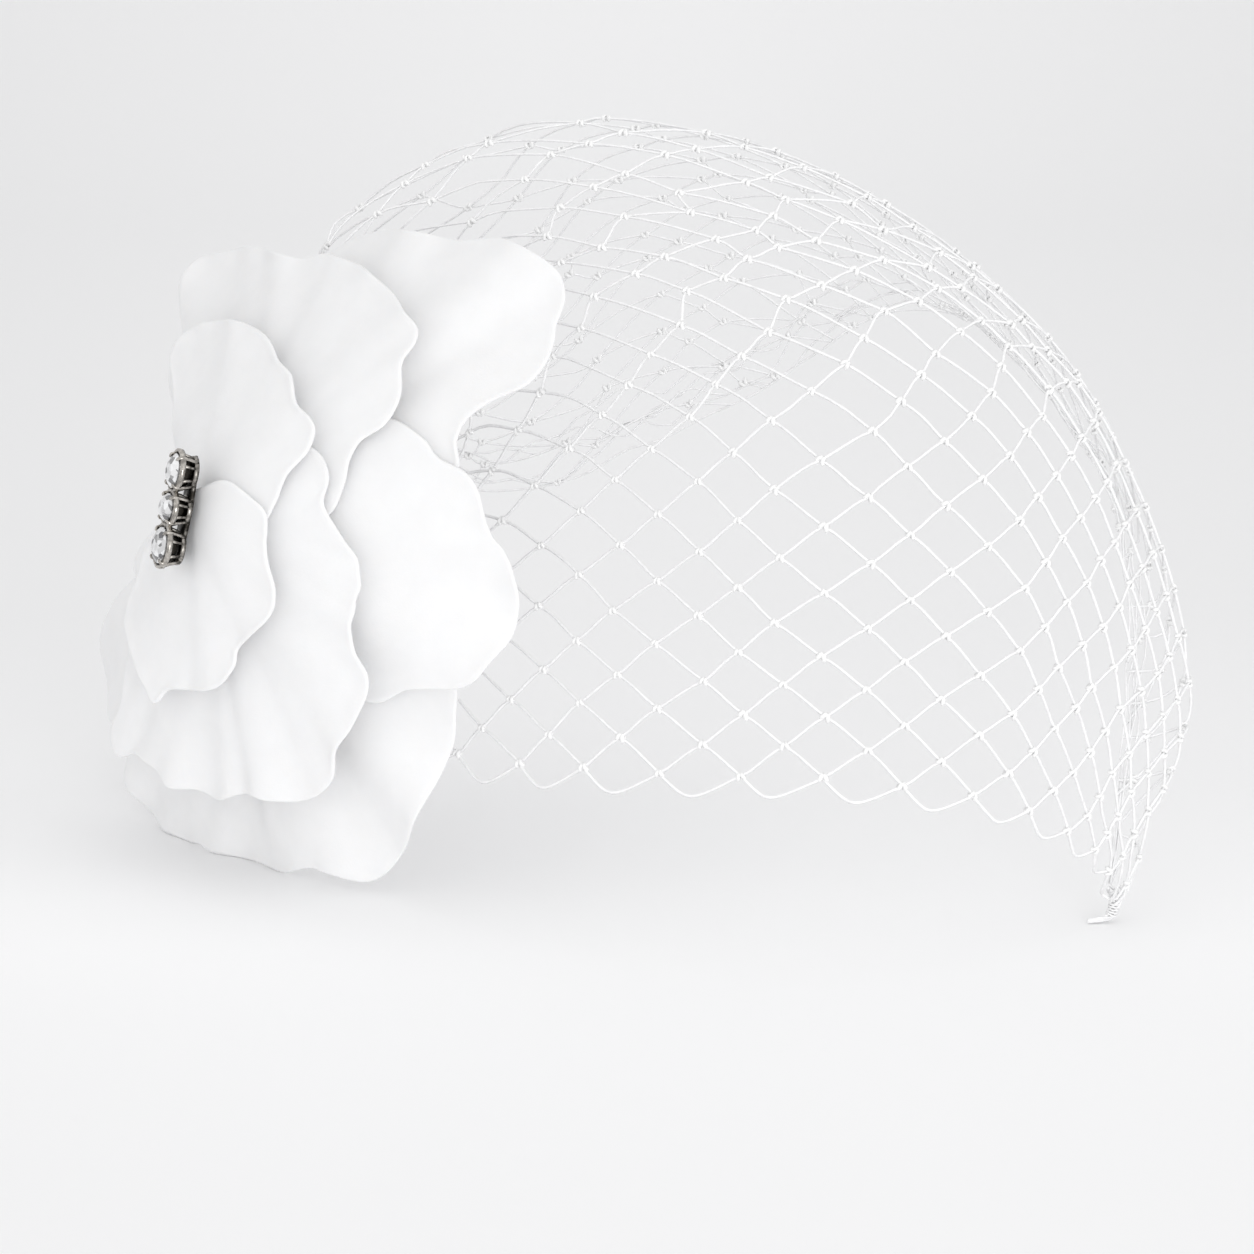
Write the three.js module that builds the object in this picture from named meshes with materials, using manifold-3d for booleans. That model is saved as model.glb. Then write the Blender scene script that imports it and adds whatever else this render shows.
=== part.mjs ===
// Birdcage veil: a shaped French net that springs from a flower of fabric petals with a stone heart.
// Millimetres, +Z up, origin under the middle of the footprint, the viewer on the -Y side.
import * as THREE from 'three';
import { mergeVertices } from 'three/addons/utils/BufferGeometryUtils.js';
import Module from 'manifold-3d';

const solids = await Module();
solids.setup();

// Driving dimensions
const FLOWER_CENTRE = new THREE.Vector3(-78, -41, 74.3);
const FLOWER_TURN = 52; // degrees from the viewer towards the left
const FLOWER_TILT = 13; // degrees that the flower looks up
const FLOWER_RADIUS = 80; // share 1 in the petal outlines, measured along the petal
const HEART_ROUNDING = 12; // radius over which the petals bend away from the flower's plane
const PETAL_THICK = 1.2;
const PETAL_GAP = 0.6;
const PETAL_FAN = 2.4; // extra distance between two layers at share 1
const RUFFLE_HEIGHT = 1.6;
const RUFFLE_COUNT = 13;
const RIM_POINTS = 26;
const RINGS = 5;

const PAD_RADIUS = 21;
const PAD_EDGE = 1;
const PAD_GAP = 0.9;
const SPINE_RADIUS = 2;
const SPINE_ENDS = [[14, -13], [-13, 14]]; // right and up in the flower's plane
const TOOTH_COUNT = 9;
const TOOTH_LENGTH = 36;
const TOOTH_RADIUS = 0.8;
const FIT_GAP = 0.3;

const JEWEL_TURN = 64;
const JEWEL_PLATE = 1;
const JEWEL_STANDOFF = 0.6; // room for the turn between the jewel's plate and the petals
const CUP_WALL = 0.7;
const CUP_HEIGHT = 4.4;
const CLAW_RADIUS = 0.55;
const CLAW_RISE = 1.1; // how far the claws stand over the cup
const STONE_CROWN = 1.3;
const STONE_PAVILION = 2.4;

const NET_THICK = 1.2;
const NET_STRAND = 2.2;
const NET_STEPS_ALONG = 24;
const NET_STEPS_ACROSS = 12;

// How far the petals lean back, in degrees, at every 30 degrees round the flower from its right side
const LEAN = [34, 31, 30, 30, 26, 23, 38, 18, 14, 20, 28, 31];

const petalCloth = new THREE.MeshStandardMaterial({ name: 'petal_cloth', color: '#f6f4f0', roughness: 0.7 });
const netThread = new THREE.MeshStandardMaterial({ name: 'net_thread', color: '#f4f3f0', roughness: 0.8 });
const baseCloth = new THREE.MeshStandardMaterial({ name: 'base_cloth', color: '#ecebe6', roughness: 0.9 });
const silver = new THREE.MeshStandardMaterial({
  name: 'antique_silver', color: '#8d8a84', roughness: 0.35, metalness: 1,
});
const combMetal = new THREE.MeshStandardMaterial({
  name: 'comb_metal', color: '#c9c9c7', roughness: 0.3, metalness: 1,
});
const stone = new THREE.MeshStandardMaterial({ name: 'clear_stone', color: '#eef2f6', roughness: 0.05 });

const group = new THREE.Group();
group.name = 'birdcage_veil';

function radians(degrees) {
  return THREE.MathUtils.degToRad(degrees);
}

// The three directions of a plane that looks to the left and up: right, up and out of it
function facing(turn, tilt) {
  const out = new THREE.Vector3(
    -Math.sin(radians(turn)) * Math.cos(radians(tilt)),
    -Math.cos(radians(turn)) * Math.cos(radians(tilt)),
    Math.sin(radians(tilt)),
  );
  const right = new THREE.Vector3(Math.cos(radians(turn)), -Math.sin(radians(turn)), 0);
  const up = new THREE.Vector3().crossVectors(out, right);
  return { right, up, out };
}

const flower = facing(FLOWER_TURN, FLOWER_TILT);

function along(origin, axes, right, up, out) {
  return origin.clone()
    .addScaledVector(axes.right, right)
    .addScaledVector(axes.up, up)
    .addScaledVector(axes.out, out);
}

function leanAt(angle) {
  const place = (((angle / (2 * Math.PI)) % 1) + 1) % 1 * LEAN.length;
  const first = Math.floor(place) % LEAN.length;
  const blend = (1 - Math.cos(Math.PI * (place - Math.floor(place)))) / 2;
  return radians(THREE.MathUtils.lerp(LEAN[first], LEAN[(first + 1) % LEAN.length], blend));
}

// A point of the flower's surface: p to the right, q up, in a layer, and a distance off that layer
function flowerPoint(p, q, layer, off) {
  const reach = Math.hypot(p, q);
  const angle = Math.atan2(q, p);
  const share = reach / FLOWER_RADIUS;
  const lean = leanAt(angle);
  const bent = reach ** 2 / (reach ** 2 + HEART_ROUNDING ** 2);
  const radial = reach * (1 - (1 - Math.cos(lean)) * bent);
  const drop = Math.sin(lean) * (Math.hypot(reach, HEART_ROUNDING) - HEART_ROUNDING);
  const lift = layer * (PETAL_THICK + PETAL_GAP + PETAL_FAN * share ** 2);
  const ruffle = RUFFLE_HEIGHT * share ** 3 * Math.sin(RUFFLE_COUNT * angle);
  return along(
    FLOWER_CENTRE, flower,
    radial * Math.cos(angle), radial * Math.sin(angle), lift + off + ruffle - drop,
  );
}

// Plane faces as triangles
function geometryOf(faces) {
  const positions = [];
  for (const face of faces) {
    for (let i = 2; i < face.length; i += 1) {
      for (const corner of [face[0], face[i - 1], face[i]]) {
        positions.push(corner.x, corner.y, corner.z);
      }
    }
  }
  const geometry = new THREE.BufferGeometry();
  geometry.setAttribute('position', new THREE.Float32BufferAttribute(positions, 3));
  geometry.computeVertexNormals();
  return geometry;
}

// Adds the mesh of one sub-part
function solid(name, material, faces) {
  const mesh = new THREE.Mesh(geometryOf(faces), material);
  mesh.name = name;
  group.add(mesh);
}

// A sheet with a front and a back, given by rings of points round a middle point
function sheetFaces(frontMiddle, frontRings, backMiddle, backRings) {
  const faces = [];
  const count = frontRings[0].length;
  for (let i = 0; i < count; i += 1) {
    const j = (i + 1) % count;
    faces.push([frontMiddle, frontRings[0][i], frontRings[0][j]]);
    faces.push([backMiddle, backRings[0][j], backRings[0][i]]);
    for (let ring = 1; ring < frontRings.length; ring += 1) {
      const [frontIn, frontOut] = [frontRings[ring - 1], frontRings[ring]];
      const [backIn, backOut] = [backRings[ring - 1], backRings[ring]];
      faces.push([frontIn[i], frontOut[i], frontOut[j], frontIn[j]]);
      faces.push([backIn[j], backOut[j], backOut[i], backIn[i]]);
    }
    const [front, back] = [frontRings.at(-1), backRings.at(-1)];
    faces.push([front[j], front[i], back[i], back[j]]);
  }
  return faces;
}

// Petals, from the outside layer in: name, layer, outline as shares of the flower's radius (right, up)
const PETALS = [
  ['petal_bottom_outer', 0, [
    [0.67, -0.33], [0.67, -0.45], [0.57, -0.70], [0.35, -0.96], [0.10, -0.94], [-0.15, -0.95],
    [-0.42, -0.94], [-0.61, -0.90], [-0.69, -0.80], [-0.60, -0.60], [-0.35, -0.28], [-0.12, -0.08], [0.05, 0.06],
    [0.22, 0.00], [0.45, -0.18],
  ]],
  ['petal_top_outer', 0, [
    [0.60, 0.27], [0.55, 0.37], [0.59, 0.45], [0.68, 0.52], [0.71, 0.65], [0.62, 0.84],
    [0.38, 0.93], [0.10, 0.90], [-0.10, 0.85], [-0.23, 0.75], [-0.15, 0.45], [0.02, 0.20], [0.20, 0.14],
    [0.45, 0.16],
  ]],
  ['petal_back_outer', 0, [
    [-0.14, 0.12], [-0.32, 0.45], [-0.55, 0.55], [-0.80, 0.48], [-0.95, 0.22], [-0.92, -0.05],
    [-0.70, -0.22], [-0.40, -0.14], [-0.18, 0.00],
  ]],
  ['petal_right_outer', 1, [
    [0.38, 0.36], [0.55, 0.30], [0.73, 0.20], [0.83, 0.06], [0.87, -0.03], [0.84, -0.20],
    [0.72, -0.31], [0.57, -0.35], [0.43, -0.40], [0.20, -0.30], [0.00, -0.10], [0.00, 0.08], [0.18, 0.28],
  ]],
  ['petal_left_outer', 1, [
    [-0.12, -0.06], [-0.35, -0.12], [-0.67, -0.26], [-0.86, -0.35], [-0.96, -0.46], [-1.00, -0.57],
    [-0.93, -0.66], [-0.68, -0.70], [-0.40, -0.60], [-0.20, -0.30],
  ]],
  ['petal_top_middle', 2, [
    [-0.76, 0.48], [-0.81, 0.57], [-0.74, 0.66], [-0.55, 0.70], [-0.26, 0.72], [-0.12, 0.76],
    [0.12, 0.73], [0.36, 0.62], [0.38, 0.53], [0.42, 0.42], [0.36, 0.28], [0.35, 0.10],
    [0.15, -0.08], [-0.05, -0.02], [-0.30, 0.15], [-0.55, 0.30],
  ]],
  ['petal_bottom_middle', 3, [
    [0.23, 0.25], [0.34, 0.15], [0.45, 0.00], [0.48, -0.15], [0.52, -0.36], [0.46, -0.52],
    [0.36, -0.69], [0.20, -0.74], [0.00, -0.76], [-0.18, -0.77], [-0.34, -0.72], [-0.45, -0.73],
    [-0.49, -0.66], [-0.40, -0.42], [-0.25, -0.15], [-0.02, 0.02], [0.10, 0.18],
  ]],
  ['petal_back_middle', 3, [
    [-0.12, 0.10], [-0.30, 0.35], [-0.55, 0.42], [-0.75, 0.28], [-0.80, 0.05], [-0.68, -0.18],
    [-0.40, -0.12], [-0.20, -0.03],
  ]],
  ['petal_top_inner', 4, [
    [-0.42, 0.25], [-0.54, 0.37], [-0.40, 0.49], [-0.20, 0.51], [-0.05, 0.48], [0.16, 0.36],
    [0.27, 0.28], [0.24, 0.16], [0.22, 0.04], [0.10, -0.08], [-0.08, -0.06], [-0.25, 0.03],
    [-0.37, 0.12],
  ]],
  ['petal_back_inner', 4, [
    [-0.18, -0.06], [-0.34, 0.02], [-0.46, -0.04], [-0.47, -0.15], [-0.38, -0.25], [-0.28, -0.28],
    [-0.20, -0.22], [-0.12, -0.14],
  ]],
  ['petal_bottom_inner', 5, [
    [-0.12, 0.04], [0.07, 0.09], [0.22, 0.05], [0.25, -0.05], [0.29, -0.16], [0.20, -0.30],
    [0.10, -0.43], [-0.08, -0.48], [-0.17, -0.53], [-0.25, -0.46], [-0.35, -0.35], [-0.34, -0.25],
    [-0.27, -0.12],
  ]],
];

// An outline as evenly spaced points that run anticlockwise, in millimetres along the petal
function evenOutline(shares, count) {
  const corners = shares.map(([right, up]) => (
    new THREE.Vector3(right * FLOWER_RADIUS, up * FLOWER_RADIUS, 0)
  ));
  const points = new THREE.CatmullRomCurve3(corners, true, 'centripetal').getSpacedPoints(count);
  points.pop();
  const flat = points.map((point) => new THREE.Vector2(point.x, point.y));
  return THREE.ShapeUtils.isClockWise(flat) ? flat.reverse() : flat;
}

function addPetal(name, layer, shares) {
  const outline = evenOutline(shares, RIM_POINTS);
  const middle = new THREE.Vector2();
  for (const point of outline) {
    middle.addScaledVector(point, 1 / RIM_POINTS);
  }
  function ringsAt(off) {
    const rings = [];
    for (let ring = 1; ring <= RINGS; ring += 1) {
      rings.push(outline.map((point) => {
        const spot = middle.clone().lerp(point, ring / RINGS);
        return flowerPoint(spot.x, spot.y, layer, off);
      }));
    }
    return rings;
  }
  const half = PETAL_THICK / 2;
  solid(name, petalCloth, sheetFaces(
    flowerPoint(middle.x, middle.y, layer, half), ringsAt(half),
    flowerPoint(middle.x, middle.y, layer, -half), ringsAt(-half),
  ));
}

// The pad behind the petals: its front follows them, its back is flat
const PAD_BACK = -(PETAL_THICK + PETAL_GAP + HEART_ROUNDING * 0.75 + PAD_EDGE);

function addPad() {
  const count = 24;
  const front = [];
  const back = [];
  for (const share of [0.34, 0.67, 1]) {
    const [frontRing, backRing] = [[], []];
    for (let i = 0; i < count; i += 1) {
      const angle = (i / count) * 2 * Math.PI;
      const [p, q] = [share * PAD_RADIUS * Math.cos(angle), share * PAD_RADIUS * Math.sin(angle)];
      frontRing.push(flowerPoint(p, q, 0, -PETAL_THICK / 2 - PAD_GAP));
      backRing.push(along(FLOWER_CENTRE, flower, p, q, PAD_BACK));
    }
    front.push(frontRing);
    back.push(backRing);
  }
  solid('flower_base', baseCloth, sheetFaces(
    flowerPoint(0, 0, 0, -PETAL_THICK / 2 - PAD_GAP), front,
    along(FLOWER_CENTRE, flower, 0, 0, PAD_BACK), back,
  ));
}

for (const [name, layer, shares] of PETALS) {
  addPetal(name, layer, shares);
}
addPad();

// The comb's spine lies on the flat back of the pad, and its teeth point down and back from there
const SPINE_OFF = PAD_BACK - FIT_GAP - SPINE_RADIUS;
const spineStart = along(FLOWER_CENTRE, flower, ...SPINE_ENDS[0], SPINE_OFF);
const spineEnd = along(FLOWER_CENTRE, flower, ...SPINE_ENDS[1], SPINE_OFF);
const spineLine = spineEnd.clone().sub(spineStart);
const toothDirection = new THREE.Vector3().crossVectors(flower.out, spineLine).normalize()
  .multiplyScalar(0.8)
  .addScaledVector(flower.out, -0.6);
const gatherDirection = new THREE.Vector3().crossVectors(spineLine, flower.out).normalize()
  .multiplyScalar(0.6)
  .addScaledVector(flower.out, -0.8);

// The net's surface: rows from the hem over the crown to the gathered back edge.
// Each row starts at the comb's spine and runs by these points to the tip on the floor.
const NET_ROWS = [
  [[-41, -53, 28], [-5, -83, 30], [38, -98, 33], [72, -91, 26], [89, -79, 14], [92, -74, 9],
    [93.4, -70.5, 4]],
  [[-42, -24, 80], [-10, -47, 90], [40, -84, 94], [78, -80, 76], [102, -70, 42], [97, -75, 14],
    [95.5, -72.6, 4.5]],
  [[-64, 1, 122], [-44, 2, 138], [-12, -15, 150], [40, -34, 141], [88, -42, 104], [112, -52, 43],
    [101.5, -70, 17], [98.4, -70.6, 5]],
  [[-58, 8, 104], [-22, 10, 125], [30, 6, 127], [75, -12, 106], [107, -36, 55], [100, -66, 17],
    [97.4, -67.8, 5]],
  [[-50, 10, 72], [-22, 19, 66], [22, 21, 84], [64, 6, 108], [98, -28, 75], [96, -65, 16],
    [94.6, -67.7, 4.5]],
];

function netGrid() {
  const rows = NET_ROWS.map((row, k) => {
    const start = spineStart.clone()
      .addScaledVector(spineLine, k / (NET_ROWS.length - 1))
      .addScaledVector(gatherDirection, SPINE_RADIUS + FIT_GAP + NET_THICK / 2);
    const points = [start, ...row.map((point) => new THREE.Vector3(...point))];
    return new THREE.CatmullRomCurve3(points, false, 'centripetal');
  });
  const grid = [];
  for (let i = 0; i <= NET_STEPS_ALONG; i += 1) {
    const arch = new THREE.CatmullRomCurve3(
      rows.map((row) => row.getPointAt(i / NET_STEPS_ALONG)), false, 'centripetal',
    );
    grid.push(arch.getSpacedPoints(NET_STEPS_ACROSS));
  }
  return grid;
}

// The outward direction at every grid point
function netNormals(grid) {
  return grid.map((line, i) => line.map((point, j) => {
    const alongRow = grid[Math.min(i + 1, NET_STEPS_ALONG)][j].clone().sub(grid[Math.max(i - 1, 0)][j]);
    const across = line[Math.min(j + 1, NET_STEPS_ACROSS)].clone().sub(line[Math.max(j - 1, 0)]);
    return alongRow.cross(across).normalize();
  }));
}

function addNet() {
  const grid = netGrid();
  const normals = netNormals(grid);
  const faces = [];
  const openEdges = new Map();
  function sides([i, j]) {
    return [0.5, -0.5].map((share) => (
      grid[i][j].clone().addScaledVector(normals[i][j], share * NET_THICK)
    ));
  }
  // Remembers each edge of the mesh until the neighbour on its other side comes
  function noteEdges(corners) {
    corners.forEach((corner, k) => {
      const next = corners[(k + 1) % corners.length];
      if (!openEdges.delete(`${next} ${corner}`)) {
        openEdges.set(`${corner} ${next}`, [corner, next]);
      }
    });
  }
  function addDiamond(i, j) {
    const corners = [[i - 1, j], [i, j - 1], [i + 1, j], [i, j + 1]];
    const width = grid[i - 1][j].distanceTo(grid[i + 1][j]);
    const height = grid[i][j - 1].distanceTo(grid[i][j + 1]);
    const inscribed = (width * height) / Math.hypot(width, height);
    const hole = 1 - Math.min(NET_STRAND / inscribed, 0.55);
    const pairs = corners.map(sides);
    const middles = [0, 1].map((k) => (
      pairs.reduce((sum, pair) => sum.addScaledVector(pair[k], 1 / pairs.length), new THREE.Vector3())
    ));
    const holes = pairs.map((pair) => pair.map((point, k) => middles[k].clone().lerp(point, hole)));
    for (let k = 0; k < 4; k += 1) {
      const [rim, nextRim, inner, nextInner] = [pairs[k], pairs[(k + 1) % 4], holes[k], holes[(k + 1) % 4]];
      faces.push([inner[0], rim[0], nextRim[0], nextInner[0]]);
      faces.push([nextInner[1], nextRim[1], rim[1], inner[1]]);
      faces.push([nextInner[0], nextInner[1], inner[1], inner[0]]);
    }
    noteEdges(corners);
  }
  // Plain triangles close the net where it is gathered at the comb and at the tip
  function addEndTriangle(i, inward, j) {
    const corners = [[i, j - 1], [i + inward, j], [i, j + 1]];
    if (inward < 0) {
      corners.reverse();
    }
    const pairs = corners.map(sides);
    faces.push([pairs[0][0], pairs[1][0], pairs[2][0]]);
    faces.push([pairs[2][1], pairs[1][1], pairs[0][1]]);
    noteEdges(corners);
  }
  for (let i = 1; i < NET_STEPS_ALONG; i += 1) {
    for (let j = 1 + (i % 2); j < NET_STEPS_ACROSS; j += 2) {
      addDiamond(i, j);
    }
  }
  for (let j = 1; j < NET_STEPS_ACROSS; j += 2) {
    addEndTriangle(0, 1, j);
    addEndTriangle(NET_STEPS_ALONG, -1, j);
  }
  for (const [corner, next] of openEdges.values()) {
    const [from, to] = [sides(corner), sides(next)];
    faces.push([to[0], from[0], from[1], to[1]]);
  }
  solid('veil_net', netThread, faces);
}

addNet();

// A round bar along a path, closed at both ends
function barFaces(points, radii, count) {
  const rings = [];
  const sideways = new THREE.Vector3(0.3, 0.2, 0.93);
  points.forEach((point, i) => {
    const before = points[Math.max(i - 1, 0)];
    const after = points[Math.min(i + 1, points.length - 1)];
    const tangent = after.clone().sub(before).normalize();
    const first = new THREE.Vector3().crossVectors(tangent, sideways).normalize();
    const second = new THREE.Vector3().crossVectors(tangent, first);
    const ring = [];
    for (let k = 0; k < count; k += 1) {
      const angle = (k / count) * 2 * Math.PI;
      ring.push(point.clone()
        .addScaledVector(first, radii[i] * Math.cos(angle))
        .addScaledVector(second, radii[i] * Math.sin(angle)));
    }
    rings.push(ring);
  });
  return closedStack(rings);
}

// Rings of points on top of one another, closed by a face at each end
function closedStack(rings) {
  const count = rings[0].length;
  const faces = [[...rings[0]].reverse(), [...rings.at(-1)]];
  for (let i = 1; i < rings.length; i += 1) {
    for (let k = 0; k < count; k += 1) {
      const next = (k + 1) % count;
      faces.push([rings[i - 1][k], rings[i - 1][next], rings[i][next], rings[i][k]]);
    }
  }
  return faces;
}

// Closed faces as a body for adding and cutting
function bodyOf(faces) {
  const loose = geometryOf(faces);
  loose.deleteAttribute('normal');
  const merged = mergeVertices(loose, 1e-4);
  return new solids.Manifold(new solids.Mesh({
    numProp: 3,
    vertProperties: new Float32Array(merged.attributes.position.array),
    triVerts: new Uint32Array(merged.index.array),
  }));
}

function facesOf(body) {
  const { vertProperties, triVerts, numProp } = body.getMesh();
  const corner = (i) => new THREE.Vector3(...vertProperties.slice(i * numProp, i * numProp + 3));
  const faces = [];
  for (let i = 0; i < triVerts.length; i += 3) {
    faces.push([corner(triVerts[i]), corner(triVerts[i + 1]), corner(triVerts[i + 2])]);
  }
  return faces;
}

// The bound tail of the net, which stands inside the gathered tip and lies along the floor
const TAIL = [[96, -70, 5.7, 1.2], [95.9, -70.1, 2.4, 1.4], [94.6, -70.4, 0.9, 1.5], [90.5, -71.2, 0.5, 1.3]];

function addTail() {
  const points = TAIL.map(([x, y, z]) => new THREE.Vector3(x, y, z));
  solid('net_end_binding', netThread, barFaces(points, TAIL.map((row) => row[3]), 8));
}

function addComb() {
  const bars = [bodyOf(barFaces([spineStart, spineEnd], [SPINE_RADIUS, SPINE_RADIUS], 10))];
  for (let i = 0; i < TOOTH_COUNT; i += 1) {
    const root = spineStart.clone().addScaledVector(spineLine, (i + 0.5) / TOOTH_COUNT);
    const tip = root.clone().addScaledVector(toothDirection, TOOTH_LENGTH);
    bars.push(bodyOf(barFaces([root, tip], [TOOTH_RADIUS, TOOTH_RADIUS * 0.6], 6)));
  }
  solid('side_comb', combMetal, facesOf(solids.Manifold.union(bars)));
}

addTail();
addComb();

// The jewel: a row of three stones in cups with claws, soldered on one plate
const jewel = facing(JEWEL_TURN, FLOWER_TILT);
const TOP_LAYER = Math.max(...PETALS.map(([, layer]) => layer));
const jewelSeat = along(
  FLOWER_CENTRE, flower, -1, 0,
  TOP_LAYER * (PETAL_THICK + PETAL_GAP) + PETAL_THICK / 2 + FIT_GAP + JEWEL_STANDOFF,
);
// Stones: name, place along the row, half width, half length
const STONES = [
  ['stone_top', 7.5, 2.6, 3.5],
  ['stone_middle', 0, 2.9, 2.9],
  ['stone_bottom', -7.6, 3.3, 3.7],
];

// An oval ring of the jewel, `up` along the row and `out` above the plate
function jewelRing(up, halfWidth, halfLength, out, count, turn = 0) {
  const ring = [];
  for (let k = 0; k < count; k += 1) {
    const angle = ((k + turn) / count) * 2 * Math.PI;
    ring.push(along(
      jewelSeat, jewel, halfWidth * Math.cos(angle), up + halfLength * Math.sin(angle), out,
    ));
  }
  return ring;
}

function addSetting() {
  const [, topPlace, , topHalf] = STONES[0];
  const [, bottomPlace, , bottomHalf] = STONES.at(-1);
  const middle = (topPlace + bottomPlace) / 2;
  const plateHalf = (topPlace + topHalf - bottomPlace + bottomHalf) / 2;
  const parts = [bodyOf(closedStack([0, JEWEL_PLATE].map((out) => (
    jewelRing(middle, 2.4, plateHalf, out, 16)
  ))))];
  const cuts = [];
  for (const [, place, halfWidth, halfLength] of STONES) {
    const grow = FIT_GAP + CUP_WALL;
    const taper = 0.72;
    parts.push(bodyOf(closedStack([
      jewelRing(place, (halfWidth + grow) * taper, (halfLength + grow) * taper, 0.2, 16),
      jewelRing(place, halfWidth + grow, halfLength + grow, CUP_HEIGHT, 16),
    ])));
    cuts.push(bodyOf(closedStack([
      jewelRing(place, (halfWidth + FIT_GAP) * taper * 0.8, (halfLength + FIT_GAP) * taper * 0.8, 1.3, 16),
      jewelRing(place, halfWidth + FIT_GAP, halfLength + FIT_GAP, CUP_HEIGHT + 0.01, 16),
    ])));
    for (const quarter of [0, 1, 2, 3]) {
      const angle = radians(45 + 90 * quarter);
      const [right, up] = [Math.cos(angle) * (halfWidth + grow), Math.sin(angle) * (halfLength + grow)];
      const claw = [0.5, CUP_HEIGHT + CLAW_RISE].map((out) => (
        along(jewelSeat, jewel, right, place + up, out)
      ));
      parts.push(bodyOf(barFaces(claw, [CLAW_RADIUS, CLAW_RADIUS * 0.8], 6)));
    }
  }
  const body = solids.Manifold.union(parts).subtract(solids.Manifold.union(cuts));
  solid('jewel_setting', silver, facesOf(body));
}

function addStone(name, place, halfWidth, halfLength) {
  const girdle = CUP_HEIGHT + 0.1;
  const ring = (share, out, turn) => (
    jewelRing(place, halfWidth * share, halfLength * share, out, 8, turn)
  );
  solid(name, stone, closedStack([
    ring(0.25, girdle - STONE_PAVILION, 0),
    ring(1, girdle - 0.2, 0),
    ring(1, girdle + 0.2, 0),
    ring(0.8, girdle + STONE_CROWN * 0.6, 0.5),
    ring(0.55, girdle + STONE_CROWN, 0),
  ]));
}

addSetting();
for (const row of STONES) {
  addStone(...row);
}

// The origin goes under the middle of the footprint
const footprint = new THREE.Box3().setFromObject(group, true);
const footprintMiddle = footprint.getCenter(new THREE.Vector3()).setZ(footprint.min.z);
group.position.sub(footprintMiddle);

export default group;
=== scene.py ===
import bmesh
import bpy
import math
import random
import numpy as np
from mathutils import Vector, Matrix


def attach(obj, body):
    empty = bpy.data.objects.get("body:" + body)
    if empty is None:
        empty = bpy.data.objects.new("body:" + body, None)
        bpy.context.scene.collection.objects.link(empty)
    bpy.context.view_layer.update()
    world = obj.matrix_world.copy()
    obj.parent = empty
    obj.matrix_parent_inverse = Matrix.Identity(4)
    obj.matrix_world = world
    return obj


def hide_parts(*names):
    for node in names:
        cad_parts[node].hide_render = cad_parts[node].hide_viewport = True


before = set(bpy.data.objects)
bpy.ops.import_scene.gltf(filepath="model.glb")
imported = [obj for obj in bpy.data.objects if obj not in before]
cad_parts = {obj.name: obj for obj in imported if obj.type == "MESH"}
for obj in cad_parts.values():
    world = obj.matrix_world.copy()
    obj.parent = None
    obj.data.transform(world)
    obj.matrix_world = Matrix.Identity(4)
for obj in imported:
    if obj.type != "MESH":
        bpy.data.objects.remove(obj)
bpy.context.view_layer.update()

# Birdcage veil: a petal flower with a jewelled heart, and a knotted net that springs from it.
# Sizes are millimetres in the drawing of the veil; toFrame() moves them into the model's frame.

veil = {
    "originShift": (1.8788, 32.4803, 1.1067),  # from the drawing's origin to the middle of the footprint
    "flowerCentre": (-78.0, -41.0, 74.3),
    "flowerTurn": 52,  # degrees from the viewer towards the left
    "flowerTilt": 13,  # degrees that it looks up
}


def toFrame(points):
    return (np.asarray(points, float) + np.array(veil["originShift"])) * 0.001


def unit(v):
    v = np.asarray(v, float)
    return v / np.linalg.norm(v)


def facing(turn, tilt):
    t, g = math.radians(turn), math.radians(tilt)
    out = np.array([-math.sin(t) * math.cos(g), -math.cos(t) * math.cos(g), math.sin(g)])
    right = np.array([math.cos(t), -math.sin(t), 0.0])
    return right, np.cross(out, right), out


def smoothCurve(points, count, closed=False):
    # a smooth curve through the points, as count + 1 evenly spaced places (count if closed)
    p = np.asarray(points, float)
    n = len(p)
    dense = []
    for k in range(n if closed else n - 1):
        b, c = p[k], p[(k + 1) % n]
        a = p[k - 1] if closed or k > 0 else 2 * b - c
        d = p[(k + 2) % n] if closed or k + 2 < n else 2 * c - b
        t0, t1, t2 = (max(np.linalg.norm(e) ** 0.5, 1e-4) for e in (b - a, c - b, d - c))
        m1 = ((b - a) / t0 - (c - a) / (t0 + t1) + (c - b) / t1) * t1
        m2 = ((c - b) / t1 - (d - b) / (t1 + t2) + (d - c) / t2) * t1
        t = np.linspace(0, 1, 24, endpoint=False)[:, None]
        dense.append(b + m1 * t + (3 * c - 3 * b - 2 * m1 - m2) * t**2 + (2 * b - 2 * c + m1 + m2) * t**3)
    dense = np.vstack(dense + [p[:1] if closed else p[-1:]])
    run = np.r_[0, np.cumsum(np.linalg.norm(np.diff(dense, axis=0), axis=1))]
    places = np.linspace(0, run[-1], count + 1)
    even = np.stack([np.interp(places, run, dense[:, k]) for k in range(p.shape[1])], 1)
    return even[:-1] if closed else even


def ramp(x):
    x = np.clip(x, 0, 1)
    return x * x * (3 - 2 * x)


def addObject(name, data):
    thing = bpy.data.objects.new(name, data)
    bpy.context.scene.collection.objects.link(thing)
    return thing


def newMesh(name, points, faces, edges=(), smooth=True, material=None):
    mesh = bpy.data.meshes.new(name)
    mesh.from_pydata([tuple(p) for p in points], [tuple(e) for e in edges], [tuple(f) for f in faces])
    mesh.validate()
    if smooth and len(faces):
        mesh.polygons.foreach_set("use_smooth", [True] * len(mesh.polygons))
    if material:
        mesh.materials.append(material)
    return addObject(name, mesh)


def settle(piece, node):
    # hides the CAD node that the piece stands for, if any, and attaches the piece to the root body
    if node:
        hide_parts(node)
    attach(piece, "root")


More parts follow.
